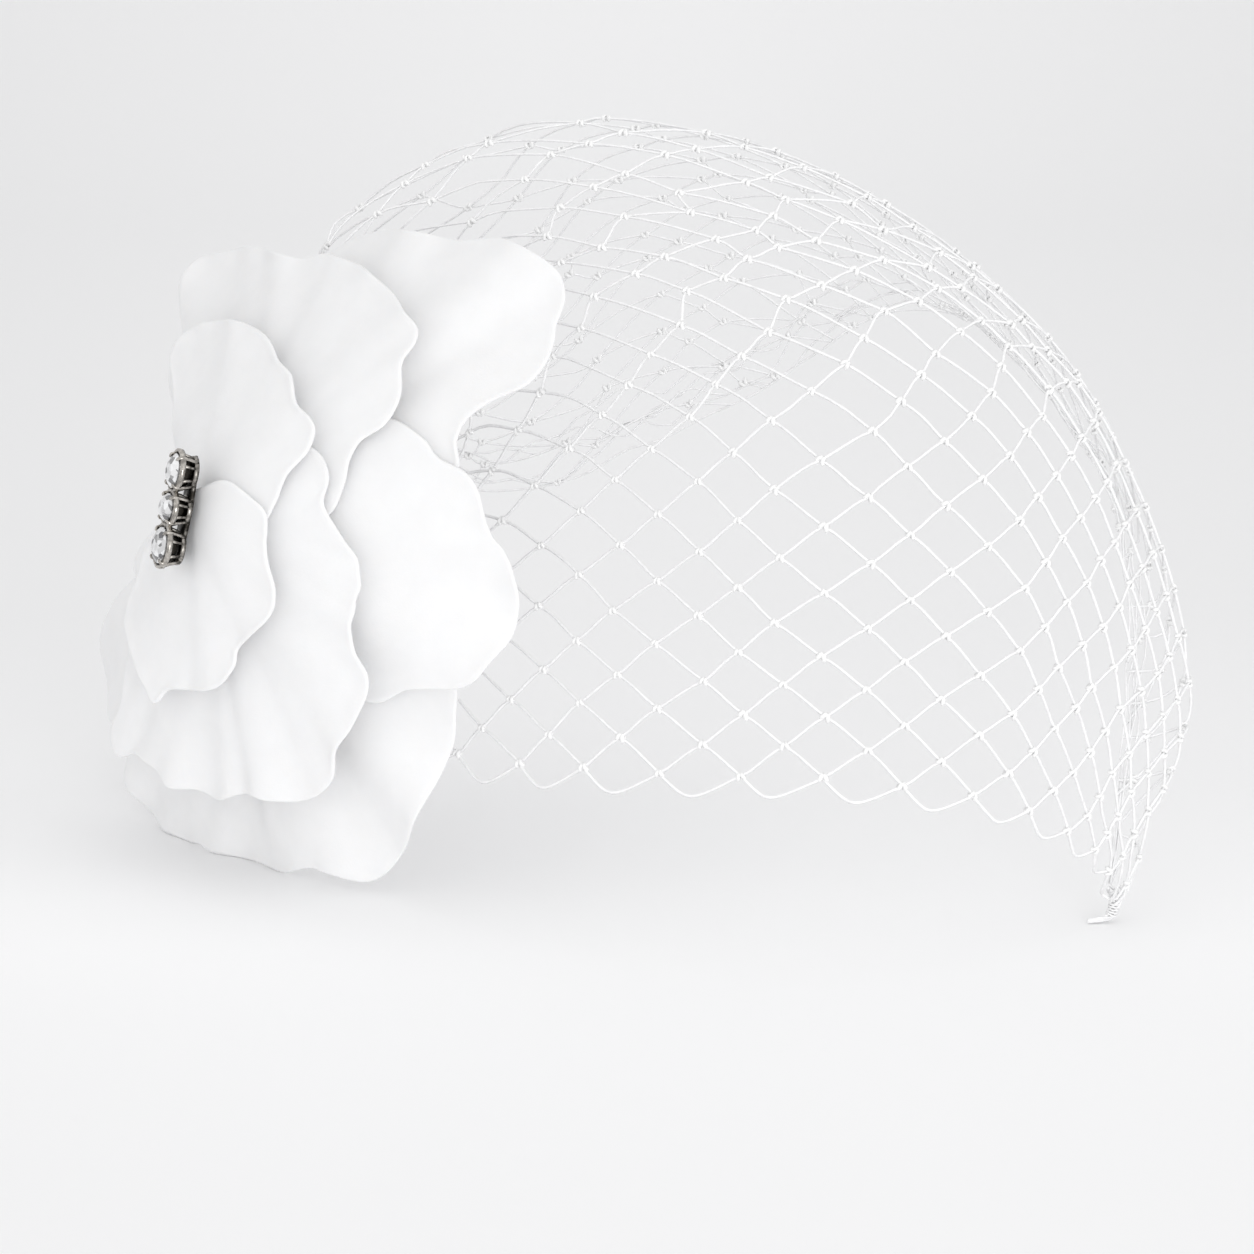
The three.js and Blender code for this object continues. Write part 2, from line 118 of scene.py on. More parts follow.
def shellFaces(rings, n):
    # faces of a closed shell: a pole, rings of n points and a second pole
    last, end = 1 + (rings - 1) * n, 1 + rings * n
    faces = [(0, 1 + k, 1 + (k + 1) % n) for k in range(n)]
    for a in range(1, last, n):
        b = a + n
        faces += [(a + k, b + k, b + (k + 1) % n, a + (k + 1) % n) for k in range(n)]
    return faces + [(last + (k + 1) % n, last + k, end) for k in range(n)]


def setInputs(node, values):
    for key, value in values.items():
        node.inputs[key].default_value = value


def addNode(tree, kind, values={}, **settings):
    node = tree.nodes.new(kind)
    for key, value in settings.items():
        setattr(node, key, value)
    setInputs(node, values)
    return node


def newMaterial(name):
    mat = bpy.data.materials.new(name)
    mat.use_nodes = True
    return mat, mat.node_tree, mat.node_tree.nodes["Principled BSDF"]


def join(tree, *links):
    # each link: from node, its socket, to node, its socket
    for a, out, b, into in links:
        tree.links.new(a.outputs[out], b.inputs[into])


def addRamp(tree, stops):
    # a colour ramp over 0 to 1, with a colour at each place
    node = addNode(tree, "ShaderNodeValToRGB")
    elements = node.color_ramp.elements
    for place, colour in stops[1:-1]:
        elements.new(place).color = colour
    elements[0].color, elements[-1].color = stops[0][1], stops[-1][1]
    return node


# Fine cloth surface: soft mottling and thread grain
def makeClothGroup():
    group = bpy.data.node_groups.new("clothGrain", "ShaderNodeTree")
    face = group.interface
    for name in ("Mottle Size", "Thread Size"):
        face.new_socket(name, in_out="INPUT", socket_type="NodeSocketFloat")
    for name in ("Colour A", "Colour B"):
        face.new_socket(name, in_out="INPUT", socket_type="NodeSocketColor")
    face.new_socket("Colour", in_out="OUTPUT", socket_type="NodeSocketColor")
    face.new_socket("Height", in_out="OUTPUT", socket_type="NodeSocketFloat")
    ins, outs = addNode(group, "NodeGroupInput"), addNode(group, "NodeGroupOutput")
    coord = addNode(group, "ShaderNodeTexCoord")
    mottle = addNode(group, "ShaderNodeTexNoise", {"Detail": 3.0, "Roughness": 0.55})
    thread = addNode(group, "ShaderNodeTexNoise", {"Detail": 2.0, "Roughness": 0.6})
    join(group, (coord, "Object", mottle, "Vector"), (coord, "Object", thread, "Vector"),
         (ins, "Mottle Size", mottle, "Scale"), (ins, "Thread Size", thread, "Scale"))
    spread = addNode(group, "ShaderNodeMapRange", {"From Min": 0.35, "From Max": 0.65})
    join(group, (mottle, "Fac", spread, "Value"))
    mix = addNode(group, "ShaderNodeMix", data_type="RGBA")
    join(group, (spread, "Result", mix, 0), (ins, "Colour A", mix, 6), (ins, "Colour B", mix, 7),
         (mix, 2, outs, "Colour"))
    fine = addNode(group, "ShaderNodeMath", {1: 0.35}, operation="MULTIPLY")
    join(group, (thread, "Fac", fine, 0))
    total = addNode(group, "ShaderNodeMath", operation="ADD")
    join(group, (mottle, "Fac", total, 0), (fine, 0, total, 1), (total, 0, outs, "Height"))
    return group


clothGroup = makeClothGroup()


def clothMaterial(name, look):
    mat, tree, shader = newMaterial(name)
    setInputs(shader, {
        "Roughness": look["roughness"], "Specular IOR Level": look["specular"],
        "Sheen Weight": look["sheen"], "Sheen Roughness": 0.4,
        "Subsurface Weight": look["glow"], "Subsurface Scale": 0.0015,
        "Subsurface Radius": (1.0, 0.9, 0.8),
    })
    grain = addNode(tree, "ShaderNodeGroup", {
        "Mottle Size": look["mottleSize"], "Thread Size": look["threadSize"],
        "Colour A": (*look["colourA"], 1), "Colour B": (*look["colourB"], 1),
    }, node_tree=clothGroup)
    bump = addNode(tree, "ShaderNodeBump", {"Strength": look["bump"], "Distance": look["depth"]})
    if "paintedUndersideShade" in look:
        # painted shade: the thread is painted greyer on its lower side than on its top, by how far its
        # surface faces down
        surface = addNode(tree, "ShaderNodeNewGeometry")
        axes = addNode(tree, "ShaderNodeSeparateXYZ")
        under = addNode(tree, "ShaderNodeMapRange", {"From Min": 0.2, "From Max": -0.9})
        shade = addNode(tree, "ShaderNodeMix", {7: (look["paintedUndersideShade"],) * 3 + (1,)}, data_type="RGBA",
                        blend_type="MULTIPLY")
        join(tree, (surface, "Normal", axes, "Vector"), (axes, "Z", under, "Value"),
             (under, "Result", shade, 0), (grain, "Colour", shade, 6), (shade, 2, shader, "Base Color"))
    else:
        join(tree, (grain, "Colour", shader, "Base Color"))
    join(tree, (grain, "Height", bump, "Height"), (bump, "Normal", shader, "Normal"))
    return mat


petalMaterial = clothMaterial("stiffened satin", {
    "colourA": (0.875, 0.875, 0.88), "colourB": (0.895, 0.895, 0.90), "roughness": 0.6, "sheen": 0.08,
    "specular": 0.3, "glow": 0.12, "mottleSize": 140, "threadSize": 2600, "bump": 0.25, "depth": 0.0003,
})
# Net thread: painted shade makes its lower sides greyer than its tops, wherever this material is used
threadMaterial = clothMaterial("net thread", {
    "colourA": (0.90, 0.90, 0.905), "colourB": (0.97, 0.97, 0.975), "roughness": 0.6, "sheen": 0.0,
    "specular": 0.4, "glow": 0.0, "mottleSize": 700, "threadSize": 5000, "bump": 0.4, "depth": 0.0001,
    "paintedUndersideShade": 0.80,
})
# Knots: the same thread as the strands, with painted light making them a little lighter, and painted shade
# on their lower sides
knotMaterial = clothMaterial("knotted thread", {
    "colourA": (0.93, 0.93, 0.93), "colourB": (0.97, 0.97, 0.97), "roughness": 0.75, "sheen": 0.0,
    "specular": 0.4, "glow": 0.0, "mottleSize": 900, "threadSize": 5000, "bump": 0.4, "depth": 0.0001,
    "paintedUndersideShade": 0.9,
})
feltMaterial = clothMaterial("white felt", {
    "colourA": (0.82, 0.815, 0.80), "colourB": (0.90, 0.895, 0.88), "roughness": 0.95, "sheen": 0.3,
    "specular": 0.2, "glow": 0.05, "mottleSize": 900, "threadSize": 4000, "bump": 0.8, "depth": 0.0004,
})

# Flower

flower = {
    "radius": 80.0,  # share 1 in the outlines, measured along the petal
    "heartRounding": 12.0,
    "thickness": 0.9,
    "layerGap": 1.8,
    "layerFan": 2.4,
    "ruffleHeight": 1.6,
    "ruffleCount": 13,
    "lean": [34, 31, 30, 30, 26, 23, 38, 18, 14, 20, 28, 31],  # every 30 degrees from its right side
    "rings": 26,
    "rimPoints": 210,
    "rimCurl": 0.5,
}
flowerRight, flowerUp, flowerOut = facing(veil["flowerTurn"], veil["flowerTilt"])


def leanAt(angle):
    steps = np.array(flower["lean"], float)
    place = (angle / (2 * np.pi)) % 1 * len(steps)
    first = np.floor(place).astype(int) % len(steps)
    blend = (1 - np.cos(np.pi * (place - np.floor(place)))) / 2
    return np.radians(steps[first] * (1 - blend) + steps[(first + 1) % len(steps)] * blend)


def flowerPoint(p, q, layer, off=0.0):
    reach, angle = np.hypot(p, q), np.arctan2(q, p)
    share, lean, round2 = reach / flower["radius"], leanAt(angle), flower["heartRounding"]
    radial = reach * (1 - (1 - np.cos(lean)) * reach**2 / (reach**2 + round2**2))
    drop = np.sin(lean) * (np.hypot(reach, round2) - round2)
    lift = layer * (flower["layerGap"] + flower["layerFan"] * share**2)
    ruffle = flower["ruffleHeight"] * share**3 * np.sin(flower["ruffleCount"] * angle)
    out = lift + off + ruffle - drop
    return (
        np.array(veil["flowerCentre"])
        + np.multiply.outer(radial * np.cos(angle), flowerRight)
        + np.multiply.outer(radial * np.sin(angle), flowerUp)
        + np.multiply.outer(out, flowerOut)
    )


# Petals: layer, waves (number round the flower, height, phase in degrees), folds (angle, half width in
# degrees, height) and outline in shares of the flower's radius
petals = {
    "petal_bottom_outer": {
        "layer": 0, "waves": [(34, 0.8, 40), (21, 0.7, 100)],
        "folds": [(-104, 3, -0.8), (-88, 3, 0.7), (-60, 13, 2.2)],
        "outline": [
         (0.68, -0.33), (0.67, -0.45), (0.64, -0.56), (0.58, -0.71), (0.48, -0.83), (0.36, -0.94),
         (0.25, -0.93), (0.18, -0.92), (0.06, -0.95), (-0.08, -0.95), (-0.15, -0.965),
         (-0.27, -0.94), (-0.36, -0.955), (-0.57, -0.90), (-0.66, -0.85), (-0.60, -0.60),
         (-0.35, -0.28), (-0.12, -0.08), (0.05, 0.06), (0.22, 0.00), (0.45, -0.18),
        ],
    },
    "petal_top_outer": {
        "layer": 0, "waves": [(16, 0.9, 20), (29, 0.4, 70)],
        "folds": [(53, 5, -1.2), (80, 10, 0.4)],
        "outline": [
         (0.60, 0.27), (0.57, 0.35), (0.57, 0.41), (0.61, 0.47), (0.69, 0.54), (0.705, 0.60),
         (0.69, 0.66), (0.665, 0.71), (0.65, 0.78), (0.60, 0.85), (0.50, 0.895), (0.39, 0.91),
         (0.22, 0.88), (0.04, 0.88), (-0.10, 0.86), (-0.25, 0.76), (-0.15, 0.45), (0.02, 0.20),
         (0.20, 0.14), (0.45, 0.16),
        ],
    },
    "petal_back_outer": {
        "layer": 0, "waves": [(18, 1.0, 10), (31, 0.6, 50)],
        "folds": [(160, 5, -1.2)],
        "outline": [
         (-0.14, 0.12), (-0.32, 0.45), (-0.55, 0.55), (-0.70, 0.52), (-0.82, 0.46), (-0.90, 0.34),
         (-0.95, 0.20), (-0.93, 0.06), (-0.92, -0.06), (-0.80, -0.17), (-0.68, -0.22),
         (-0.40, -0.14), (-0.18, 0.00),
        ],
    },
    "petal_right_outer": {
        "layer": 1, "waves": [(19, 0.8, 60), (33, 0.4, 0)],
        "outline": [
         (0.38, 0.36), (0.51, 0.33), (0.56, 0.29), (0.66, 0.26), (0.72, 0.19), (0.77, 0.105),
         (0.80, 0.085), (0.84, 0.04), (0.86, -0.03), (0.855, -0.11), (0.84, -0.20), (0.80, -0.28),
         (0.74, -0.325), (0.64, -0.35), (0.57, -0.37), (0.49, -0.42), (0.43, -0.42), (0.20, -0.30),
         (0.00, -0.10), (0.00, 0.08), (0.18, 0.28),
        ],
    },
    "petal_left_outer": {
        "layer": 1, "waves": [(23, 0.8, 30), (37, 0.4, 0)],
        "folds": [(-152, 4, -1.2)],
        "outline": [
         (-0.12, -0.06), (-0.35, -0.12), (-0.67, -0.26), (-0.86, -0.35), (-0.95, -0.45),
         (-1.00, -0.56), (-0.97, -0.64), (-0.84, -0.68), (-0.66, -0.70), (-0.40, -0.60),
         (-0.20, -0.30),
        ],
    },
    "petal_top_middle": {
        "layer": 2, "waves": [(22, 0.8, 80), (35, 0.4, 20)],
        "folds": [(118, 5, -0.9), (130, 6, 0.6), (96, 5, 0.5), (62, 5, -0.8)],
        "outline": [
         (-0.76, 0.48), (-0.81, 0.56), (-0.79, 0.64), (-0.70, 0.67), (-0.57, 0.71), (-0.40, 0.72),
         (-0.25, 0.72), (-0.14, 0.76), (0.04, 0.755), (0.13, 0.73), (0.28, 0.67), (0.37, 0.62),
         (0.385, 0.58), (0.375, 0.53), (0.42, 0.42), (0.41, 0.35), (0.36, 0.29), (0.355, 0.24),
         (0.36, 0.13), (0.34, 0.07), (0.15, -0.08), (-0.05, -0.02), (-0.30, 0.15), (-0.55, 0.30),
        ],
    },
    "petal_bottom_middle": {
        "layer": 3, "waves": [(27, 0.9, 10), (41, 0.4, 60)],
        "folds": [(-118, 4, -0.9), (-84, 4, -1.0), (-62, 4, 0.7), (-20, 4, -0.8)],
        "outline": [
         (0.25, 0.24), (0.34, 0.18), (0.34, 0.12), (0.36, 0.08), (0.44, 0.00), (0.465, -0.03),
         (0.49, -0.09), (0.48, -0.16), (0.48, -0.28), (0.525, -0.35), (0.51, -0.43), (0.47, -0.51),
         (0.42, -0.58), (0.39, -0.66), (0.34, -0.71), (0.27, -0.735), (0.19, -0.74), (0.09, -0.73),
         (-0.01, -0.77), (-0.10, -0.76), (-0.18, -0.77), (-0.25, -0.735), (-0.31, -0.72),
         (-0.36, -0.71), (-0.44, -0.735), (-0.49, -0.68), (-0.45, -0.60), (-0.40, -0.42),
         (-0.25, -0.15), (-0.02, 0.02), (0.10, 0.18),
        ],
    },
    "petal_back_middle": {
        "layer": 3, "waves": [(18, 0.9, 0), (31, 0.5, 50)],
        "folds": [(150, 5, -1.0)],
        "outline": [
         (-0.12, 0.10), (-0.30, 0.35), (-0.55, 0.42), (-0.67, 0.37), (-0.75, 0.28), (-0.80, 0.16),
         (-0.80, 0.04), (-0.76, -0.09), (-0.67, -0.18), (-0.40, -0.12), (-0.20, -0.03),
        ],
    },
    "petal_top_inner": {
        "layer": 4, "waves": [(25, 0.5, 40), (44, 0.2, 10)],
        "outline": [
         (-0.42, 0.25), (-0.54, 0.37), (-0.50, 0.45), (-0.40, 0.49), (-0.29, 0.51), (-0.18, 0.51),
         (-0.10, 0.50), (0.01, 0.45), (0.09, 0.42), (0.17, 0.35), (0.24, 0.32), (0.27, 0.29),
         (0.275, 0.24), (0.24, 0.16), (0.23, 0.08), (0.21, 0.02), (0.10, -0.08), (-0.08, -0.06),
         (-0.25, 0.03), (-0.37, 0.12),
        ],
    },
    "petal_back_inner": {
        "layer": 4, "waves": [(19, 0.4, 40)],
        "outline": [
         (-0.18, -0.06), (-0.34, 0.02), (-0.46, -0.04), (-0.47, -0.15), (-0.38, -0.25),
         (-0.28, -0.28), (-0.20, -0.22), (-0.12, -0.14),
        ],
    },
    "petal_bottom_inner": {
        "layer": 5, "waves": [(24, 0.45, 0), (43, 0.2, 30)],
        "outline": [
         (-0.12, 0.04), (-0.02, 0.05), (0.08, 0.095), (0.17, 0.075), (0.235, 0.04), (0.25, -0.04),
         (0.26, -0.08), (0.29, -0.16), (0.275, -0.23), (0.20, -0.30), (0.15, -0.345), (0.14, -0.39),
         (0.08, -0.45), (-0.04, -0.475), (-0.11, -0.49), (-0.165, -0.535), (-0.20, -0.50),
         (-0.24, -0.46), (-0.29, -0.41), (-0.35, -0.35), (-0.36, -0.30), (-0.33, -0.25),
         (-0.27, -0.12),
        ],
    },
}


def makePetal(name, petal):
    rim = smoothCurve(np.array(petal["outline"]) * flower["radius"], flower["rimPoints"], closed=True)
    area = np.sum(rim[:, 0] * np.roll(rim[:, 1], -1) - np.roll(rim[:, 0], -1) * rim[:, 1])
    if area < 0:
        rim = rim[::-1]
    middle = rim.mean(0)
    t = (np.arange(1, flower["rings"] + 1) / flower["rings"]) ** 0.8
    spots = middle + (rim - middle) * t[:, None, None]
    p, q = spots[..., 0], spots[..., 1]
    angle, edge = np.arctan2(q, p), t[:, None] + 0 * p
    share = np.hypot(p, q) / flower["radius"]
    off = flower["rimCurl"] * edge**14
    for count, height, phase in petal["waves"]:
        start = math.radians(phase)
        uneven = (0.6 + 0.4 * np.sin(3 * angle + 2 * start)) * share**1.5 * edge**5
        off = off + height * uneven * np.sin(count * angle + start + 0.9 * np.sin(5 * angle + start))
    for turn, width, height in petal.get("folds", ()):
        apart = (angle - math.radians(turn) + np.pi) % (2 * np.pi) - np.pi
        off = off + height * ramp(share / 0.9) * np.exp(-((apart / math.radians(width)) ** 2))
    sheet = flowerPoint(p, q, petal["layer"], off)
    core = flowerPoint(middle[0], middle[1], petal["layer"])
    inward = np.concatenate([np.repeat(core[None, None], len(rim), 1), sheet[:-1]])
    across = np.roll(sheet, -1, 1) - np.roll(sheet, 1, 1)
    normal = np.cross(sheet - inward, across)
    normal = normal / np.linalg.norm(normal, axis=2)[..., None]
    outward = (sheet[-1] - sheet[-2]) / np.linalg.norm(sheet[-1] - sheet[-2], axis=1)[:, None]
    half = flower["thickness"] / 2
    rings = [sheet[k] + normal[k] * half for k in range(len(t))]
    for turn in (45, 90, 135):
        a = math.radians(turn)
        rings.append(sheet[-1] + normal[-1] * half * math.cos(a) + outward * half * math.sin(a))
    rings += [sheet[k] - normal[k] * half for k in reversed(range(len(t)))]
    points = toFrame(np.vstack([[core + flowerOut * half]] + rings + [[core - flowerOut * half]]))
    points[:, 2] = np.maximum(points[:, 2], 0.0001)  # it lies on the floor where it touches it
    piece = newMesh(name + "_cloth", points, shellFaces(len(rings), len(rim)), material=petalMaterial)
    settle(piece, name)


for name, petal in petals.items():
    makePetal(name, petal)
print("petals made:", len(petals))

# Net

net = {
    "threadWidth": 0.62,
    "knotSize": 1.32,
    "hemDrop": 4.5,  # from the hem's lows to its knots
    "pitch": 6.5,  # half a diamond, across the net
    "frontRows": 16,
    "backPitch": 4.0,
    "rowsAcross": 48,
    "columnCount": 52,
    "tipDrop": 7.0,  # how far the rows sink at the tip side
    "tipColumns": (19, 11),  # from this half column, over this many
    "backRows": (14, 10),  # thread and knots get finer from this half row, over this many
    "shoulder": 0.05,  # how far a strand bows out beside its knot
    "combSide": 0.28,
    "slack": 0.45,  # wandering of the back layer's knots
    "edgeThreads": 5,  # gathered threads along the back edge
    "spineEnds": ((14, -13), (-13, 14)),
    "spineOff": -14.1,
}
# Share of the way from comb to tip of every fourth half column, by distance from the hem in mm
netColumns = [8, 12, 16, 20, 24, 28, 32]
netShares = {
    5: [0.345, 0.508, 0.658, 0.795, 0.902, 0.985, 1.050],
    25: [0.290, 0.467, 0.607, 0.733, 0.823, 0.893, 0.965],
    37: [0.260, 0.437, 0.580, 0.707, 0.783, 0.857, 0.925],
    65: [0.225, 0.393, 0.535, 0.650, 0.730, 0.800, 0.865],
    80: [0.210, 0.378, 0.530, 0.632, 0.710, 0.780, 0.845],
    110: [0.130, 0.305, 0.462, 0.580, 0.665, 0.738, 0.805],
    150: [0.040, 0.215, 0.380, 0.505, 0.600, 0.680, 0.752],
    210: [0.000, 0.170, 0.335, 0.460, 0.560, 0.642, 0.718],
}
# The net's surface: rows from the hem over the crown to the gathered back edge, comb to tip
netRows = [
    [(-41, -53, 28), (-5, -83, 30), (38, -98, 33), (72, -91, 26), (89, -79, 14), (92, -74, 9),
     (93.4, -70.5, 4)],
    [(-42, -24, 80), (-10, -47, 90), (40, -84, 94), (78, -80, 76), (102, -70, 42), (97, -75, 14),
     (95.5, -72.6, 4.5)],
    [(-64, 1, 122), (-44, 2, 138), (-12, -15, 150), (40, -34, 141), (88, -42, 104), (112, -52, 43),
     (101.5, -70, 17), (98.4, -70.6, 5)],
    [(-58, 8, 104), (-22, 10, 125), (30, 6, 127), (75, -12, 106), (107, -36, 55), (100, -66, 17),
     (97.4, -67.8, 5)],
    [(-50, 10, 72), (-22, 19, 66), (22, 21, 84), (64, 6, 108), (98, -28, 75), (96, -65, 16),
     (94.6, -67.7, 4.5)],
]


def padPoint(p, q, off):
    return np.array(veil["flowerCentre"]) + flowerRight * p + flowerUp * q + flowerOut * off


spineStart, spineEnd = (padPoint(*end, net["spineOff"]) for end in net["spineEnds"])
gatherSide = unit(np.cross(spineEnd - spineStart, flowerOut))
gatherWay = gatherSide * 0.6 - flowerOut * 0.8
gridSize = 120
rowCurves = []
for k, row in enumerate(netRows):
    begin = spineStart + (spineEnd - spineStart) * k / 4 + gatherWay * 2.9
    rowCurves.append(smoothCurve([begin] + row, gridSize))
netGrid = np.array([smoothCurve([curve[i] for curve in rowCurves], gridSize) for i in range(gridSize + 1)])
archLengths = np.linalg.norm(np.diff(netGrid, axis=1), axis=2).sum(1)


def netPoint(u, v):
    x, y = np.clip(u, 0, 1) * gridSize, np.clip(v, 0, 1) * gridSize
    i, j = min(int(x), gridSize - 1), min(int(y), gridSize - 1)
    a, b = x - i, y - j
    return (netGrid[i, j] * (1 - a) * (1 - b) + netGrid[i + 1, j] * a * (1 - b)
            + netGrid[i, j + 1] * (1 - a) * b + netGrid[i + 1, j + 1] * a * b)


def netNormal(u, v):
    du = netPoint(min(u + 0.01, 1), v) - netPoint(u - 0.01, v)
    dv = netPoint(u, min(v + 0.01, 1)) - netPoint(u, v - 0.01)
    return unit(np.cross(du, dv)), unit(du)


def fromHem(j):
    if j <= 0:
        return 0.0
    run = net["hemDrop"] + (min(j, net["frontRows"]) - 1) * net["pitch"]
    return run + max(0, j - net["frontRows"]) * net["backPitch"]


def columnShare(i, distance):
    heights = list(netShares)
    across = []
    for shares in netShares.values():
        if i < netColumns[0]:
            slope = (shares[1] - shares[0]) / 4
            across.append(shares[0] + (i - netColumns[0]) * slope)
        elif i > netColumns[-1]:
            slope = (shares[-1] - shares[-2]) / 4
            across.append(shares[-1] + (i - netColumns[-1]) * slope)
        else:
            k = min(int((i - netColumns[0]) / 4), len(shares) - 2)
            across.append(shares[k] + (shares[k + 1] - shares[k]) * (i - netColumns[k]) / 4)
    return float(np.interp(distance, heights, across))


def netPlace(i, j):
    low = int(math.floor(j))
    s = fromHem(low) + (j - low) * (fromHem(low + 1) - fromHem(low))
    u = columnShare(i, s)
    first, count = net["tipColumns"]
    s = s - net["tipDrop"] * ramp((i - first) / count) * min(1, s / 15)
    arch = np.interp(min(max(u, net["combSide"]), 1), np.linspace(0, 1, gridSize + 1), archLengths)
    return u, s / arch


def onNet(place):
    return 0 <= place[0] <= 1 and place[1] <= 1


def atEdge(inside, outside):
    # where the line from a place on the net to one beyond it crosses the edge
    (a, b), (u, v) = inside, outside
    reach = min((1 - a) / (u - a) if u > 1 else 1, -a / (u - a) if u < 0 else 1,
                (1 - b) / (v - b) if v > 1 else 1)
    return a + (u - a) * reach, b + (v - b) * reach


def cutPath(places):
    # the part of a strand that lies on the net, cut exactly at its edges
    kept = []
    for k, place in enumerate(places):
        if onNet(place):
            kept.append(place)
        elif kept:
            kept.append(atEdge(kept[-1], place))
            break
        elif k + 1 < len(places) and onNet(places[k + 1]):
            kept.append(atEdge(places[k + 1], place))
    return kept


def makeStrands():
    dice = random.Random(4)
    first, count = net["backRows"]
    paths, widths, knots = [], [], []
    wander = {}

    def loose(i, j):
        if (i, j) not in wander:
            amount = net["slack"] * ramp((j - 12) / 8) + 0.04
            wander[i, j] = (dice.uniform(-1, 1) * amount, dice.uniform(-1, 1) * amount)
        return wander[i, j]

    for j in range(1, net["rowsAcross"] + 1):
        for i in range(j % 2, net["columnCount"], 2):
            a = loose(i, j)
            u, v = netPlace(i + a[0], j + a[1])
            if 0.01 < u <= 1 and v <= 1:
                knots.append((u, v, dice.uniform(-0.3, 0.3), 1 - 0.35 * ramp((j - first) / count)))
            for dj in (1, -1):
                if j + dj < 1:
                    continue
                b = loose(i + 1, j + dj)
                places = []
                for t in np.linspace(0, 1, 7):
                    # 9.5 makes the greatest bow equal to the setting
                    bend = net["shoulder"] * 9.5 * (t * (1 - t) ** 3 if dj < 0 else -((1 - t) * t**3))
                    places.append(netPlace(i + t + bend + a[0] * (1 - t) + b[0] * t,
                                           j + dj * t + a[1] * (1 - t) + b[1] * t))
                path = [netPoint(u, v) for u, v in cutPath(places)]
                if len(path) > 1:
                    paths.append(path)
                    widths.append(1 - 0.2 * ramp((j - first) / count))
    # the hem: one rounded scallop from knot to knot
    for i in range(1, net["columnCount"], 2):
        a, b = loose(i, 1), loose(i + 2, 1)
        places = []
        for t in np.linspace(0, 1, 13):
            rise = (math.hypot(2 * t - 1, 0.35) - 0.35) / (math.hypot(1, 0.35) - 0.35)
            skew = 0.35 * math.sin(math.pi * t) * ramp((i - 12) / 10)
            places.append(netPlace(i + 2 * t + skew + a[0] * (1 - t) + b[0] * t, rise))
        path = [netPoint(u, v) for u, v in cutPath(places)]
        if len(path) > 1:
            paths.append(path)
            widths.append(1.1)
    # loose threads that gather along the back edge
    for k in range(net["edgeThreads"]):
        phase = [dice.uniform(0, 6.28) for _ in range(3)]
        path = []
        for u in np.linspace(0.03, 0.995, 90):
            sway = (math.sin(34 * u + phase[0]) + 0.8 * math.sin(71 * u + phase[1])
                    + 0.5 * math.sin(140 * u + phase[2]))
            v = 1 - 0.012 * k + (0.009 if k else 0.002) * sway * (1 - ramp((u - 0.85) / 0.15))
            normal = netNormal(u, min(v, 0.99))[0]
            path.append(netPoint(u, min(v, 1)) + normal * 0.5 * math.sin(90 * u + phase[2]))
        paths.append(path)
        widths.append(0.75)
    return paths, widths, knots


def addSockets(tree, inputs):
    for name, kind in (("Geometry", "Geometry"), *inputs):
        tree.interface.new_socket(name, in_out="INPUT", socket_type="NodeSocket" + kind)
    tree.interface.new_socket("Geometry", in_out="OUTPUT", socket_type="NodeSocketGeometry")
    return addNode(tree, "NodeGroupInput"), addNode(tree, "NodeGroupOutput")


def socketOf(tree, name):
    return next(s.identifier for s in tree.interface.items_tree if s.name == name)


# Tubes along the edges of a mesh, with each point's own thickness
def makeThreadTree():
    tree = bpy.data.node_groups.new("threadAlongEdges", "GeometryNodeTree")
    ins, outs = addSockets(tree, (("Thread Width", "Float"), ("Sides", "Int"), ("Material", "Material")))
    curve = addNode(tree, "GeometryNodeMeshToCurve")
    thick = addNode(tree, "GeometryNodeInputNamedAttribute", {"Name": "thick"}, data_type="FLOAT")
    half = addNode(tree, "ShaderNodeMath", {1: 0.5}, operation="MULTIPLY")
    circle = addNode(tree, "GeometryNodeCurvePrimitiveCircle")
    tube = addNode(tree, "GeometryNodeCurveToMesh", {"Fill Caps": True})
    radius = addNode(tree, "GeometryNodeSetCurveRadius")
    smooth = addNode(tree, "GeometryNodeSetShadeSmooth")
    real = addNode(tree, "GeometryNodeRealizeInstances")
    setMat = addNode(tree, "GeometryNodeSetMaterial")
    join(tree, (ins, "Geometry", curve, "Mesh"), (curve, "Curve", radius, "Curve"),
         (thick, "Attribute", radius, "Radius"), (ins, "Thread Width", half, 0),
         (half, 0, circle, "Radius"), (ins, "Sides", circle, "Resolution"),
         (radius, "Curve", tube, "Curve"), (circle, "Curve", tube, "Profile Curve"),
         (thick, "Attribute", tube, "Scale"), (tube, "Mesh", smooth, "Geometry"),
         (smooth, "Geometry", real, "Geometry"), (real, "Geometry", setMat, "Geometry"),
         (ins, "Material", setMat, "Material"), (setMat, "Geometry", outs, "Geometry"))
    return tree


